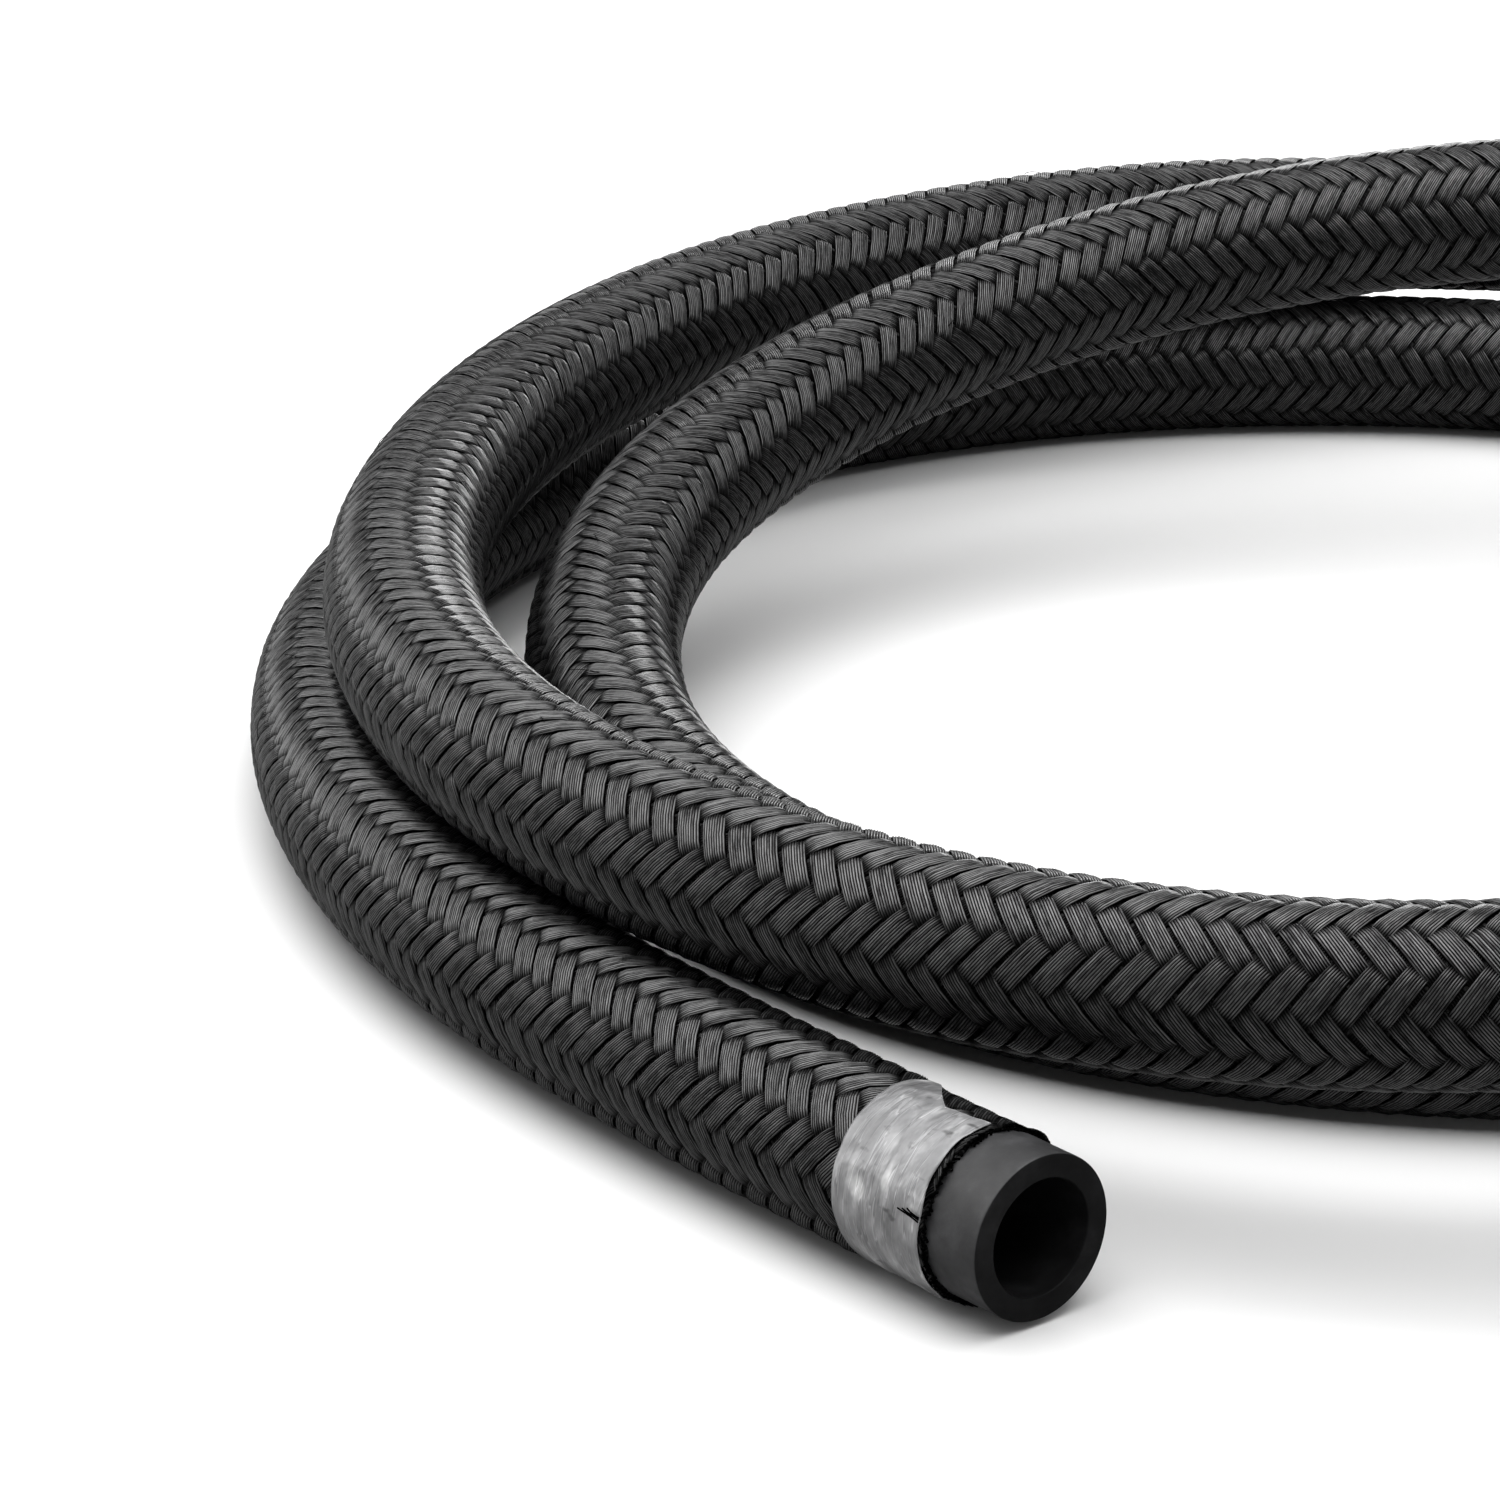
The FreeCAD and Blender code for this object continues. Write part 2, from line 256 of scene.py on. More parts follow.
# Rows per weave repeat (4 pitches), close together where a yarn dives
BEATS = np.array([0, 0.70, 0.90, 1.10, 1.35, 2.0, 2.65, 2.90, 3.10, 3.30])
WEAVE_OFFSET = {1: 0.5, -1: 2.5}      # by winding sign, in pitches
R_WEAVE, WEAVE_RISE = 8.43, 0.235     # mean radius of the yarns, and their rise and fall
SQUARE_LENGTH, FRAY_LENGTH = 5.0, 1.5  # yarn turned square to the cut, and uneven filaments
ALL_YARNS = [(sign, idx) for sign in (1, -1) for idx in range(N_YARN)]


def end_triangles():
    """Triangles that close a yarn's section, zipped from its top to its underside."""
    third = N_TOP // 3
    below = np.repeat([N_RING - 1, N_RING - 2, N_RING - 3], [third, third, N_TOP - 2 * third])
    tris = []
    for k in range(N_TOP - 1):
        tris.append([k, k + 1, below[k]])
        if below[k + 1] != below[k]:
            tris.append([k + 1, below[k + 1], below[k]])
    return np.array(tris)


YARN_CAP = end_triangles()


def yarn_rows(sign, idx, start, stop):
    """Stations of a yarn's rings; none lies within min_gap of either end."""
    min_gap = 0.12
    first = sign * (WEAVE_OFFSET[sign] - 2 * idx)
    repeats = np.arange(math.floor((start / PITCH - first) / 4) - 2,
                        math.ceil((stop / PITCH - first) / 4) + 3)
    rows = np.sort((first + sign * BEATS[None] + 4 * repeats[:, None]).ravel()) * PITCH
    return np.r_[start, rows[(rows > start + min_gap) & (rows < stop - min_gap)], stop]


def tape_skew(angle):
    """Extra reach of the tape's edge away from the cut face, greatest near the top."""
    return 0.9 + 0.9 * np.cos(angle - math.radians(78))


def yarn(sign, idx, start, stop):
    """Flat yarn woven two over, two under: its mesh parts and point values."""
    rng = np.random.default_rng(1000 + idx + (500 if sign < 0 else 0))
    phases = rng.uniform(0, 6.283, 6)
    ridge_error = rng.normal(0, 0.010, N_TOP)
    fray = rng.normal(0, 0.16, N_TOP)
    fray = np.r_[fray, fray[[2, FILAMENTS, -3]]][None]
    cut_start = start <= STANDOUT + 1e-6
    cut_stop = stop >= LENGTH - STANDOUT - 1e-6
    rows = yarn_rows(sign, idx, start, stop)
    n_rows = len(rows)

    # Rings lie square to the yarn, but turn square to the hose at a cut
    slant = np.ones(n_rows)
    if cut_start:
        slant *= smooth((rows - start) / SQUARE_LENGTH)
    if cut_stop:
        slant *= smooth((stop - rows) / SQUARE_LENGTH)
    wander = 0.07 * np.sin(rows / 9.1 + phases[0]) + 0.05 * np.sin(rows / 3.7 + phases[1])
    swell = 1 + 0.03 * np.sin(rows / 5.3 + phases[2])
    offset = ACROSS[None] * swell[:, None] + wander[:, None]
    lean = -sign * math.sin(LAY_ANGLE)
    wound = rows[:, None] - (1 - slant)[:, None] * offset * lean   # stations that set the angle
    placed = rows[:, None] + slant[:, None] * offset * lean        # stations of the points
    if cut_start:
        placed = placed - fray * np.clip(1 - (rows - start) / FRAY_LENGTH, 0, 1)[:, None]
    if cut_stop:
        placed = placed + fray * np.clip(1 - (stop - rows) / FRAY_LENGTH, 0, 1)[:, None]

    # Height of the weave from -1 (under) to 1 (over), with steep dives
    crossing = 2 * idx + sign * (2 * N_YARN * wound / LAY) - WEAVE_OFFSET[sign]
    steepness = 2.3
    weave = np.tanh(steepness * np.cos(2 * np.pi * crossing / 4)) / math.tanh(steepness)

    # The tape squeezes the yarns below it
    setback = np.minimum(placed, LENGTH - placed)
    side = PHASE + 2 * np.pi * idx / N_YARN + sign * 2 * np.pi * wound / LAY
    skew = tape_skew(np.where(placed < LENGTH / 2, side, math.pi - side))
    squeeze = (smooth((setback - TAPE_0 + 0.6) / 0.8)
               * (1 - smooth((setback - TAPE_1 - 0.1 - skew) / 1.6)))

    height = np.r_[TOP_HEIGHT + ridge_error, -0.10, -0.10, -0.10]
    crown = -0.17 * np.abs(ACROSS / (YARN_W / 2)) ** 2.4           # drop towards the yarn's edges
    fuzz = 0.012 * np.sin(rows[:, None] / 1.9 + ACROSS[None] * 5 + phases[3])
    cut_drop = 0.06 * (1 - smooth(setback - STANDOUT))
    radius = (R_WEAVE + WEAVE_RISE * weave * (1 - 0.55 * squeeze)
              + height[None] * (1 - 0.3 * squeeze) + crown[None] + fuzz
              - 0.13 * squeeze - cut_drop)
    angle = side + offset * math.cos(LAY_ANGLE) / radius
    verts = at(placed, angle, radius).reshape(-1, 3)
    quads = loft_quads(n_rows, N_RING)
    caps = np.r_[YARN_CAP[:, ::-1], YARN_CAP + (n_rows - 1) * N_RING]
    if sign > 0:
        quads = quads[:, ::-1]
    else:
        caps = caps[:, ::-1]

    # The caps get their own copies of the end points, for a crisp cut edge
    used, inverse = np.unique(caps, return_inverse=True)
    caps = inverse.reshape(caps.shape) + len(verts)
    points = np.r_[np.arange(len(verts)), used]
    # Painted shade: darker where the yarn dives under its neighbours, and near the cut
    exposed = np.clip((weave + 0.85) / 1.6, 0, 1)
    cut_shade = 0.5 + 0.5 * smooth((setback - STANDOUT - 0.2) / 1.4)
    values = {
        "cross": np.broadcast_to(ACROSS / YARN_W + 0.5, (n_rows, N_RING)).ravel()[points],
        "along": np.repeat(rows, N_RING)[points],
        "tone": np.full(len(points), rng.uniform(0, 1)),
        "depth": (exposed * cut_shade).ravel()[points],
    }
    return (verts[points], quads, caps), values


def yarn_object(name, which, start, stop):
    parts, values = zip(*(yarn(sign, idx, start, stop) for sign, idx in which))
    values = {key: np.concatenate([value[key] for value in values]) for key in values[0]}
    return mesh_object(name, BRAID, *join(parts), **values)


# ---------------------------------------------------------------- tubes
# Rounded lip of a cut face: distances from the face and loss of outer radius there
LIP_AT = np.array([0, 0.03, 0.1, 0.2, 0.35])
LIP_LOSS = 0.12 * np.array([1, 0.55, 0.18, 0.04, 0])
LIP_BORE = 0.7                        # share of the lip that widens the bore


def tube(name, start, stop, r_in, r_out, material, sides, step, ripple=0.0):
    """Hollow tube; tone is 0 outside, 1 on a cut face of the hose and 2 inside."""
    n = max(3, int(math.ceil((stop - start) / step)) + 1)
    stations = np.linspace(start, stop, n)
    outer, inner = np.full(n, r_out), np.full(n, r_in)
    lip_outer, lip_inner = r_out - LIP_LOSS, r_in + LIP_LOSS * LIP_BORE
    cut_start, cut_stop = start <= 1e-6, stop >= LENGTH - 1e-6
    if cut_start:
        stations = np.r_[LIP_AT, stations[1:]]
        outer = np.r_[lip_outer, outer[1:]]
        inner = np.r_[lip_inner, inner[1:]]
    if cut_stop:
        stations = np.r_[stations[:-1], LENGTH - LIP_AT[::-1]]
        outer = np.r_[outer[:-1], lip_outer[::-1]]
        inner = np.r_[inner[:-1], lip_inner[::-1]]
    n = len(stations)
    angle = np.arange(sides) / sides * 2 * np.pi
    wobble = ripple * (np.sin(3 * angle + 1.1) + 0.6 * np.sin(5 * angle + 0.3))[None]
    rows = np.r_[stations, stations[::-1]]
    radius = np.r_[outer, inner[::-1]]
    verts = at(rows[:, None], angle[None], radius[:, None] + wobble).reshape(-1, 3)
    tone = np.zeros((2 * n, sides))
    tone[n:] = 2.0
    if cut_start:
        tone[:2] = 1.0
        tone[-3:] = 1.0
    if cut_stop:
        tone[n - 2:n + 3] = 1.0
    quads = grid_quads(2 * n, sides, close_rows=True, close_columns=True)
    ob = mesh_object(name, material, verts, quads, tone=tone)
    ob.data.set_sharp_from_angle(angle=math.radians(40))
    return ob


# ---------------------------------------------------------------- shader helpers
def new_material(name):
    material = bpy.data.materials.new(name)
    material.use_nodes = True
    tree = material.node_tree
    return material, tree, tree.nodes["Principled BSDF"]


def feed(tree, node, inputs):
    """Link or set a node's inputs from a dict of name or number to socket or value."""
    for key, value in inputs.items():
        if isinstance(value, bpy.types.NodeSocket):
            tree.links.new(value, node.inputs[key])
        else:
            node.inputs[key].default_value = value


def attribute(tree, name):
    node = tree.nodes.new("ShaderNodeAttribute")
    node.attribute_name = name
    return node.outputs["Fac"]


def object_coords(tree):
    return tree.nodes.new("ShaderNodeTexCoord").outputs["Object"]


def math_node(tree, operation, *values):
    node = tree.nodes.new("ShaderNodeMath")
    node.operation = operation
    feed(tree, node, dict(enumerate(values)))
    return node.outputs[0]


def noise(tree, scale, detail, roughness=0.55, coords=None):
    node = tree.nodes.new("ShaderNodeTexNoise")
    feed(tree, node, {"Scale": scale, "Detail": detail, "Roughness": roughness,
                      "Vector": coords or object_coords(tree)})
    return node.outputs["Fac"]


def ramp(tree, factor, stops):
    """Colour ramp; stops are (position, (red, green, blue))."""
    node = tree.nodes.new("ShaderNodeValToRGB")
    elements = node.color_ramp.elements
    while len(elements) > 1:
        elements.remove(elements[-1])
    elements[0].position = stops[0][0]
    elements[0].color = (*stops[0][1], 1)
    for position, color in stops[1:]:
        elements.new(position).color = (*color, 1)
    tree.links.new(factor, node.inputs["Fac"])
    return node.outputs["Color"]


def grey_ramp(tree, factor, stops):
    """Colour ramp; stops are (position, grey)."""
    return ramp(tree, factor, [(position, (grey,) * 3) for position, grey in stops])


def remap(tree, value, source, target):
    """Clamped linear map from the source range to the target range."""
    node = tree.nodes.new("ShaderNodeMapRange")
    feed(tree, node, {"From Min": source[0], "From Max": source[1],
                      "To Min": target[0], "To Max": target[1], "Value": value})
    return node.outputs["Result"]


def multiply_colors(tree, first, second, factor=1.0):
    node = tree.nodes.new("ShaderNodeMix")
    node.data_type = "RGBA"
    node.blend_type = "MULTIPLY"
    feed(tree, node, {0: factor, 6: first, 7: second})   # 6 and 7 are the colour inputs
    return node.outputs[2]


def bump(tree, shader, height, strength, distance):
    node = tree.nodes.new("ShaderNodeBump")
    feed(tree, node, {"Strength": strength, "Distance": distance, "Height": height})
    tree.links.new(node.outputs["Normal"], shader.inputs["Normal"])


# ---------------------------------------------------------------- materials
def braid_material():
    """Black nylon filaments, with painted shade where a yarn dives, near the cut, towards a
    yarn's edges and in the valleys between filaments, and painted glints along each filament.
    """
    material, tree, shader = new_material("braid_nylon")
    cross, along = attribute(tree, "cross"), attribute(tree, "along")
    tone, depth = attribute(tree, "tone"), attribute(tree, "depth")

    def calc(operation, *values):
        return math_node(tree, operation, *values)

    # Painted shade where a yarn dives under its neighbours and near the cut, on colour and gloss
    lit = remap(tree, depth, source=(0.45, 1.0), target=(0.10, 1.0))
    # Painted shade on the outermost filaments, where they sink into the gap between yarns
    hump = calc("MULTIPLY", calc("MULTIPLY", cross, calc("SUBTRACT", 1.0, cross)), 4.0)
    lit = calc("MULTIPLY", lit, remap(tree, hump, source=(0.02, 0.28), target=(0.10, 1.0)))
    # 1 on a filament's crest, 0 in the valley
    wave = calc("COSINE", calc("MULTIPLY", cross, FILAMENTS * 2 * math.pi))
    ridge = calc("MULTIPLY_ADD", wave, -0.5, 0.5)
    # Each filament has its own tone and its own glints along its length; the glints are painted
    # into the base colour as well as set in the gloss and roughness
    filament = calc("FLOOR", calc("MULTIPLY", cross, float(FILAMENTS)))
    coords = tree.nodes.new("ShaderNodeCombineXYZ")
    feed(tree, coords, {0: calc("MULTIPLY", filament, 3.17), 1: calc("MULTIPLY", along, 0.45),
                        2: calc("MULTIPLY", tone, 57.0)})
    glint = noise(tree, scale=1.0, detail=3, roughness=0.6, coords=coords.outputs[0])
    # Painted shade in the valleys between filaments, with painted glints along them, under the
    # painted weave shade
    shade = calc("MULTIPLY", remap(tree, ridge, source=(0.05, 0.8), target=(0.12, 1.0)),
                 remap(tree, glint, source=(0.32, 0.68), target=(0.40, 1.6)))
    shade = calc("MULTIPLY", shade, lit)
    color = ramp(tree, shade, [(0.0, (0.0008, 0.0008, 0.0008)),
                               (0.5, (0.0075, 0.0075, 0.0077)), (1.0, (0.020, 0.020, 0.0203))])
    roughness = calc("ADD", remap(tree, glint, source=(0.3, 0.7), target=(0.16, 0.38)),
                     calc("MULTIPLY", calc("SUBTRACT", 1.0, ridge), 0.30))
    gloss = calc("MULTIPLY", remap(tree, ridge, source=(0.25, 0.90), target=(0.02, 0.72)),
                 remap(tree, glint, source=(0.32, 0.68), target=(0.28, 2.0)))
    feed(tree, shader, {"Base Color": color, "Roughness": roughness,
                        "Specular IOR Level": calc("MULTIPLY", gloss, lit), "IOR": 1.53})
    grain = noise(tree, scale=7000, detail=2)
    relief = calc("ADD", calc("MULTIPLY", ridge, 0.8), calc("MULTIPLY", grain, 0.15))
    bump(tree, shader, relief, strength=0.55, distance=0.00010)
    return material


def rubber_material():
    """Dusty black rubber; the bore is darker by painted shade, the cut face partly by painted
    shade and partly as bare, undusted rubber.
    """
    material, tree, shader = new_material("liner_rubber")
    tone = attribute(tree, "tone")
    dust = ramp(tree, noise(tree, scale=170, detail=6, roughness=0.6),
                [(0.30, (0.013, 0.013, 0.0135)), (0.50, (0.022, 0.022, 0.023)),
                 (0.66, (0.040, 0.040, 0.042))])
    zone = math_node(tree, "MULTIPLY", tone, 0.5)   # 0 outside, 0.5 cut face, 1 bore
    # Painted shade in the bore, and on the cut face partly painted shade, partly the bare
    # rubber's own darker colour; both also lose gloss
    darkening = grey_ramp(tree, zone, [(0.0, 1), (0.45, 0.34), (0.55, 0.34), (1.0, 0.30)])
    patches = noise(tree, scale=700, detail=5)
    feed(tree, shader, {
        "Base Color": multiply_colors(tree, dust, darkening),
        "Roughness": remap(tree, patches, source=(0.3, 0.7), target=(0.44, 0.60)),
        "Specular IOR Level": remap(tree, zone, source=(0.0, 0.5), target=(0.26, 0.05))})
    grain = noise(tree, scale=5200, detail=6, roughness=0.7)
    bump(tree, shader, grain, strength=0.16, distance=0.00010)
    return material


def textile_material():
    """Dark ribbed underside of the braid, seen between the yarns."""
    material, tree, shader = new_material("braid_underside")
    wave = tree.nodes.new("ShaderNodeTexWave")
    feed(tree, wave, {"Scale": 900, "Distortion": 2.0, "Vector": object_coords(tree)})
    ribs = wave.outputs["Fac"]
    feed(tree, shader, {"Base Color": grey_ramp(tree, ribs, [(0.1, 0.003), (0.9, 0.009)]),
                        "Roughness": 0.85})
    bump(tree, shader, ribs, strength=0.5, distance=0.0002)
    return material


def tape_material():
    """Glossy grey film with slanting streaks, fold lines with painted shade and a painted
    highlight, and dark smudges.
    """
    material, tree, shader = new_material("tape_film")
    coords = tree.nodes.new("ShaderNodeCombineXYZ")
    feed(tree, coords, {0: attribute(tree, "cross"), 1: attribute(tree, "along")})

    def cloud(stretch, turn, offset, detail, scale=1.0):
        mapping = tree.nodes.new("ShaderNodeMapping")
        feed(tree, mapping, {"Scale": (*stretch, 1.0), "Rotation": (0, 0, turn),
                             "Location": (offset, offset * 0.7, offset * 0.3),
                             "Vector": coords.outputs[0]})
        return noise(tree, scale, detail, coords=mapping.outputs["Vector"])

    streaks = ramp(tree, cloud(stretch=(0.20, 0.34), turn=0.35, offset=3.0, detail=3),
                   [(0.30, (0.10, 0.10, 0.102)), (0.46, (0.15, 0.15, 0.153)),
                    (0.58, (0.23, 0.23, 0.233)), (0.70, (0.42, 0.42, 0.42))])
    # Painted shade and highlight of fold lines: a dark line beside a bright one
    painted_fold_shading = grey_ramp(tree, cloud(stretch=(0.10, 1.1), turn=0.38, offset=8.0, detail=2),
                      [(0.44, 1), (0.485, 0.62), (0.50, 1.7), (0.53, 1)])
    smudges = grey_ramp(
        tree, cloud(stretch=(0.75, 0.45), turn=0.8, offset=1.7, detail=2, scale=0.9),
        [(0.25, 0.22), (0.36, 1)])
    color = multiply_colors(tree, streaks, painted_fold_shading, factor=0.8)
    color = multiply_colors(tree, color, smudges, factor=0.9)
    patches = noise(tree, scale=300, detail=2)
    feed(tree, shader, {
        "Base Color": color, "Metallic": 0.20,
        "Roughness": remap(tree, patches, source=(0.3, 0.7), target=(0.34, 0.52)),
        "Coat Weight": 0.30, "Coat Roughness": 0.24})
    dents = cloud(stretch=(0.22, 0.42), turn=0.35, offset=5.0, detail=3)
    bump(tree, shader, dents, strength=0.50, distance=0.0008)
    return material


BRAID, RUBBER = braid_material(), rubber_material()
TEXTILE, TAPE = textile_material(), tape_material()


# ---------------------------------------------------------------- hose ends
def seams_of(end):
    """Distances from the cut face where the pieces of an end meet, coil side first."""
    hinges = HINGES[end]
    middles = [(far + near) / 2 for far, near in zip(hinges[:-1], hinges[1:])]
    return [hinges[0] + 10.0, *middles, 0.0]


def bend(ob, end, joint, far, near):
    """Bake a piece's transform into its mesh; the centre points either side of its hinge are
    computed but not used.
    """
    margin = 1.6
    start = station(end, far - margin)
    stop = station(end, max(near + margin, 2 * HINGES[end][joint] - far + margin))
    tuple(axes(start)[0] * MM)
    tuple(axes(stop)[0] * MM)
    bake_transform(ob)


def end_piece(end, joint, far, near):
    last = joint == 3
    tag = "%s_%d" % (end, joint + 1)

    def span(near_edge):
        return sorted((station(end, far), station(end, near_edge)))

    yarns = yarn_object("braid_yarns_" + tag, ALL_YARNS, *span(STANDOUT if last else near))
    liner = tube("liner_tube_" + tag, *span(near), R_BORE, R_LINER, RUBBER,
                 sides=96 if last else 64, step=1.2, ripple=0.010)
    textile = tube("braid_inner_" + tag, *span(STANDOUT + 0.3 if last else near),
                   R_LINER + BACK_GAP, R_BACK, TEXTILE, sides=64, step=1.5)
    for ob, layer, slot in ((yarns, "braid_jacket", "braid_nylon"),
                            (liner, "liner", "liner_rubber"),
                            (textile, "braid_jacket", "braid_nylon")):
        bend(ob, end, joint, far, near)
        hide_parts("%s_%s_flex%d" % (layer, end, joint + 1),
                    "%s_%s_%s" % (layer, end, "tip" if last else "span%d" % (joint + 1)))


for end in "ab":
    seams = seams_of(end)
    for joint in range(4):
        end_piece(end, joint, seams[joint], seams[joint + 1])

# ---------------------------------------------------------------- coil
COIL_0, COIL_1 = station("a", seams_of("a")[0]), station("b", seams_of("b")[0])


def coil_part(ob, layer):
    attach(ob, "coil")
    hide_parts(*["%s_coil_%d" % (layer, k + 1) for k in range(6)])


for sign, idx in ALL_YARNS:
    name = "braid_yarn_coil_%s%02d" % ("r" if sign > 0 else "l", idx + 1)
    coil_part(yarn_object(name, [(sign, idx)], COIL_0, COIL_1), "braid_jacket")
coil_part(tube("liner_tube_coil", COIL_0, COIL_1, R_BORE, R_LINER, RUBBER, sides=40, step=3.0),
          "liner")
coil_part(tube("braid_inner_coil", COIL_0, COIL_1, R_LINER + BACK_GAP, R_BACK, TEXTILE,
               sides=40, step=2.5), "braid_jacket")


# ---------------------------------------------------------------- tape wraps
def tape_wrinkles(rng, angle, setback):
    """Height of the film's wrinkles: 26 short ones lengthwise, 9 round the hose."""
    height = np.zeros(setback.shape)
    for _ in range(26):
        rng.normal(0, 0.55)           # unused, but it advances the generator
        place, slope = rng.uniform(0, 6.283), rng.uniform(-0.5, 0.5)
        middle, width = rng.uniform(TAPE_0, TAPE_1), rng.uniform(0.05, 0.11)
        off = np.angle(np.exp(1j * (angle - place - slope * (setback - middle) / R_HOSE)))
        fade = np.exp(-((setback - middle) / rng.uniform(2.0, 5.0)) ** 2)
        height += rng.uniform(0.06, 0.17) * np.exp(-(off / width) ** 2) * fade
    for _ in range(9):
        middle = rng.uniform(TAPE_0 + 0.6, TAPE_1 - 0.6)
        sway, width = rng.uniform(-0.9, 0.9), rng.uniform(0.22, 0.45)
        rise = rng.uniform(-0.05, 0.07)
        path = sway * np.sin(angle + rng.uniform(0, 6))
        height += rise * np.exp(-((setback - middle - path) / width) ** 2)
    return height


def tape(end):
    rng = np.random.default_rng(77 if end == "a" else 78)
    n_around, n_across, thickness = 420, 64, 0.06
    around, across = np.linspace(0, 1, n_around), np.linspace(0, 1, n_across)
    phases = rng.uniform(0, 6.283, 12)
    # One end of the film slants over the upper side: share of the width, degrees
    slant = ((0, 0.2, 0.45, 0.60, 0.80, 1.0), (92, 89, 87, 96, 110, 123))
    first = np.radians(np.interp(across, *slant))
    last = np.radians(-196 + 6 * across)
    top = first[:, None] + (last - first)[:, None] * around[None]
    angle = top if end == "a" else math.pi - top
    # Uneven edges, on the side of the cut face and on the far side
    near_edge = (-0.12 + 0.20 * np.sin(2 * top + phases[0]) + 0.13 * np.sin(5 * top + phases[1])
                 + 0.08 * np.sin(11 * top + phases[2]))
    far_edge = (tape_skew(top) + 0.10 * np.sin(3 * top + phases[3])
                + 0.05 * np.sin(7 * top + phases[4]))
    setback = (TAPE_0 + near_edge * (1 - across)[:, None] + (TAPE_W * across)[:, None]
               + far_edge * across[:, None])
    wrinkles = tape_wrinkles(rng, angle, setback)
    # The braid shows faintly through the film
    turn = setback * 2 * np.pi / LAY * N_YARN
    braid = 0.025 * np.sin(N_YARN * angle + turn) * np.sin(N_YARN * angle - turn)
    edge = smooth(np.minimum(across, 1 - across) / 0.02)[:, None]
    outer = R_HOSE + 0.03 + wrinkles * 0.9 + braid - 0.05 * (1 - edge)

    def both(outside, inside):
        """Rows across the outer face, then back across the inner face."""
        return np.concatenate([outside, inside[::-1]])

    stations = station(end, setback)
    verts = at(both(stations, stations), both(angle, angle), both(outer, outer - thickness))
    verts[..., 2] = np.maximum(verts[..., 2], 0.00002)   # stays above the floor
    n_rows = 2 * n_across
    quads = grid_quads(n_rows, n_around, close_rows=True)[:, ::-1]
    k = np.arange(n_across - 1)
    rim = np.stack([k, n_rows - 1 - k, n_rows - 2 - k, k + 1], -1) * n_around
    quads = np.r_[quads, rim, rim[:, ::-1] + n_around - 1]
    ob = mesh_object("tape_film_" + end, TAPE, verts.reshape(-1, 3), quads,
                     cross=both(top, top) * R_HOSE, along=both(setback, setback))
    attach(ob, "end_%s_tip" % end)
    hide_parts("tape_wrap_" + end)


tape("a")
tape("b")


# ---------------------------------------------------------------- loose filaments
def strand(points, radius):
    """Six-sided strand along points; radius in metres."""
    n = len(points)
    tangent = np.gradient(points, axis=0)
    tangent /= np.linalg.norm(tangent, axis=1)[:, None]
    side = np.cross(tangent, [0.31, 0.2, 0.93])
    side /= np.linalg.norm(side, axis=1)[:, None]
    up = np.cross(tangent, side)
    angle = (np.arange(6) / 6 * 2 * np.pi)[None, :, None]
    rings = points[:, None] + radius * (np.cos(angle) * side[:, None]
                                        + np.sin(angle) * up[:, None])
    last = (n - 1) * 6
    caps = [[0, k + 1, k] for k in range(1, 5)]
    caps += [[last, last + k, last + k + 1] for k in range(1, 5)]
    return rings.reshape(-1, 3), loft_quads(n, 6), np.array(caps)


def strands(name, parts, body):
    verts, quads, tris = join(parts)
    ob = mesh_object(name, BRAID, verts, quads, tris, tone=np.full(len(verts), 0.5))
    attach(ob, body)


def cut_filaments(end):
    """Short filaments that stick out of the cut braid."""
    rng = np.random.default_rng(5 if end == "a" else 6)
    parts = []
    u = np.linspace(0, 1, 5)
    for _ in range(70):
        angle, hand = rng.uniform(0, 6.283), rng.choice([-1, 1])
        reach = rng.uniform(0.5, 1.3)
        setback = STANDOUT + 0.9 - (0.9 + reach * 0.30) * u
        radius = rng.uniform(8.05, 8.42) + u ** 2 * rng.uniform(-0.10, 0.10)
        path = at(station(end, setback), angle + hand * 0.11 * u * reach, radius)
        parts.append(strand(path, 0.00012))
    if end == "a":
        # Three filaments lie together on the tape
        u = np.linspace(0, 1, 7)
        for k in range(3):
            setback = TAPE_0 - 0.5 + (2.9 - 0.6 * k) * u
            angle = math.radians(11 + 1.1 * k) + 0.05 * u + 0.006 * np.sin(4 * u + k)
            path = at(setback, angle, 8.93 + 0.05 * np.sin(3 * u))
            parts.append(strand(path, 0.00008))
    strands("cut_filaments_" + end, parts, "end_%s_tip" % end)


def stray_filaments():
    """Fine filaments that arch off the upper side of the coil."""
    rng = np.random.default_rng(11)
    parts = []
    u = np.linspace(0, 1, 9)
    for _ in range(46):
        start, angle = rng.uniform(COIL_0 + 5, COIL_1 - 5), rng.uniform(0.2, 2.9)
        reach = rng.uniform(1.5, 4.0)
        stations = start + reach * u * rng.uniform(-1, 1)
        angles = angle + u * reach / R_HOSE * rng.uniform(-1, 1)
        radius = 8.66 + rng.uniform(0.2, 0.7) * np.sin(np.pi * u * rng.uniform(0.5, 0.9))
        parts.append(strand(at(stations, angles, radius), 0.00004))
    strands("stray_filaments", parts, "coil")


cut_filaments("a")
cut_filaments("b")
stray_filaments()


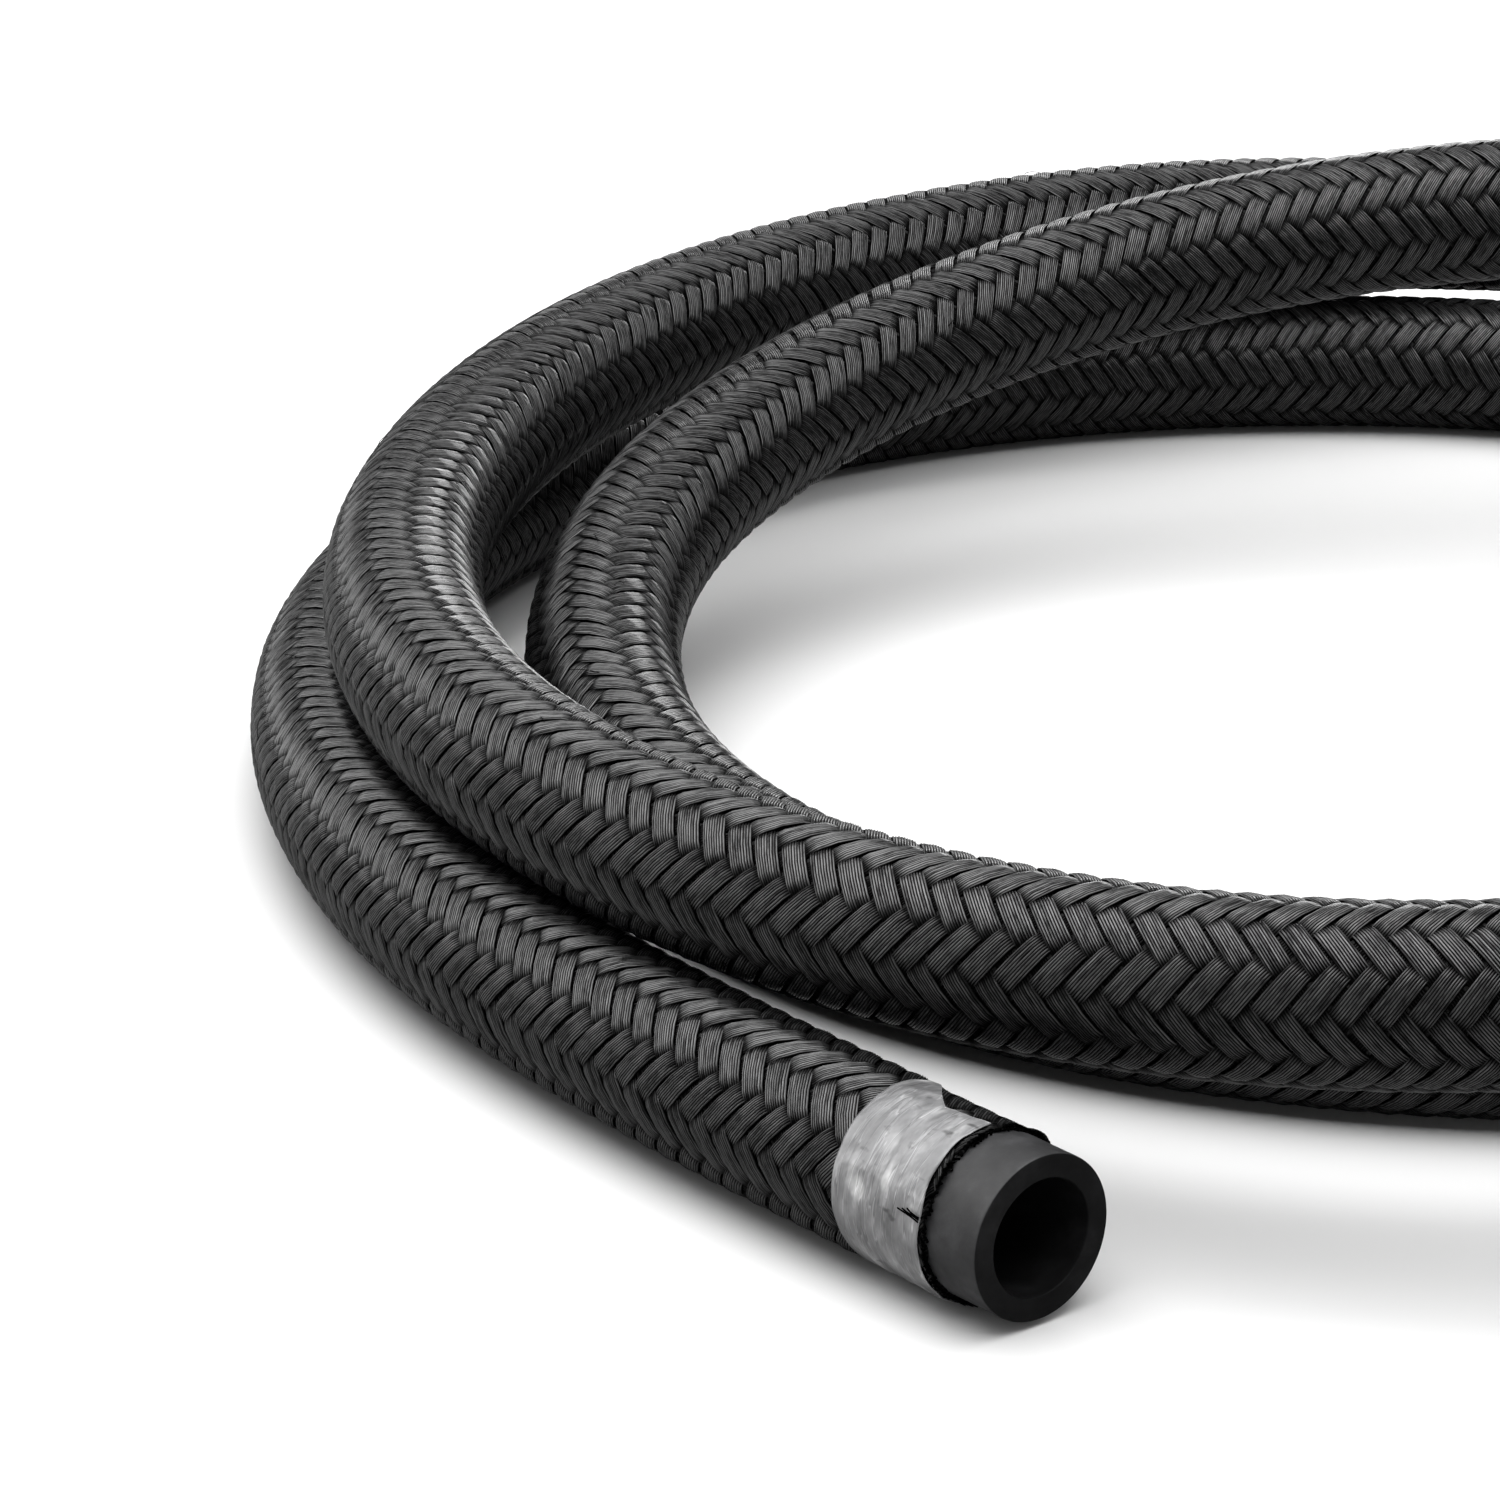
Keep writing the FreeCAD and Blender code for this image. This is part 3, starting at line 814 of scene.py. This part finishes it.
# ---------------------------------------------------------------- floor, light, camera
def floor_material():
    """White floor that looks darker in reflections."""
    material, tree, shader = new_material("floor_white")
    rays = tree.nodes.new("ShaderNodeLightPath").outputs
    color = tree.nodes.new("ShaderNodeMix")
    color.data_type = "RGBA"
    feed(tree, color, {6: (0.74, 0.74, 0.74, 1), 7: (0.30, 0.30, 0.30, 1),
                       0: rays["Is Glossy Ray"]})
    # The floor stays white out to the horizon where the lamps no longer reach
    distance = tree.nodes.new("ShaderNodeVectorMath")
    distance.operation = "LENGTH"
    feed(tree, distance, {0: object_coords(tree)})
    far = remap(tree, distance.outputs["Value"], source=(0.7, 2.2), target=(0.0, 1.0))
    feed(tree, shader, {
        "Base Color": color.outputs[2], "Roughness": 0.55, "Specular IOR Level": 0.12,
        "Emission Color": (1, 1, 1, 1),
        "Emission Strength": math_node(tree, "MULTIPLY", far, rays["Is Camera Ray"])})
    return material


me = bpy.data.meshes.new("floor")
me.from_pydata([(-6, -6, 0), (6, -6, 0), (6, 8, 0), (-6, 8, 0)], [], [(0, 1, 2, 3)])
me.materials.append(floor_material())
floor = bpy.data.objects.new("floor", me)
scene = bpy.context.scene
scene.collection.objects.link(floor)


def studio_world():
    """White to the camera, dim to diffuse rays and dimmer still in reflections."""
    world = bpy.data.worlds.new("studio")
    scene.world = world
    world.use_nodes = True
    tree = world.node_tree
    rays = tree.nodes.new("ShaderNodeLightPath").outputs
    dim = remap(tree, rays["Is Glossy Ray"], source=(0.0, 1.0), target=(0.42, 0.09))
    feed(tree, tree.nodes["Background"], {
        "Color": (1, 1, 1, 1),
        "Strength": math_node(tree, "MAXIMUM", dim, rays["Is Camera Ray"])})


def area(name, location, target, size, power):
    light = bpy.data.lights.new(name, "AREA")
    light.shape = "RECTANGLE"
    light.size, light.size_y = size
    light.energy = power
    ob = bpy.data.objects.new(name, light)
    ob.location = location
    aim = Vector(target) - Vector(location)
    ob.rotation_euler = aim.to_track_quat("-Z", "Y").to_euler()
    scene.collection.objects.link(ob)
    return ob


studio_world()
area("top_soft", location=(-0.1, 0.02, 1.4), target=(0, 0.0, 0), size=(2.2, 1.9),
     power=50).visible_glossy = False
# Panels that light no diffuse surface: name, location (m), size (m), power (W)
for name, location, size, power in (
        ("top_panel", (-0.1, -0.12, 1.2), (2.2, 1.35), 36),
        ("left_panel", (-1.15, 0.30, 0.62), (1.3, 0.9), 12.5),
        ("back_panel", (0.25, 1.55, 0.30), (2.6, 0.45), 5),
        ("rim_panel", (0.40, 1.25, 0.74), (0.9, 0.26), 9)):
    area(name, location, (0, 0, 0.04), size, power).visible_diffuse = False
scene.view_settings.view_transform = "Standard"

CAMERA_AT = (-106.826, -624.710, 228.976)
CAMERA_DIP = 0.348768                 # radians below level, looking towards +y
lens = bpy.data.cameras.new("camera")
lens.lens, lens.sensor_width = 140.7149, 36.0
lens.clip_start, lens.clip_end = 0.01, 50
camera = bpy.data.objects.new("camera", lens)
camera.location = tuple(x * MM for x in CAMERA_AT)
camera.rotation_euler = (math.pi / 2 - CAMERA_DIP, 0, 0)
scene.collection.objects.link(camera)
scene.camera = camera
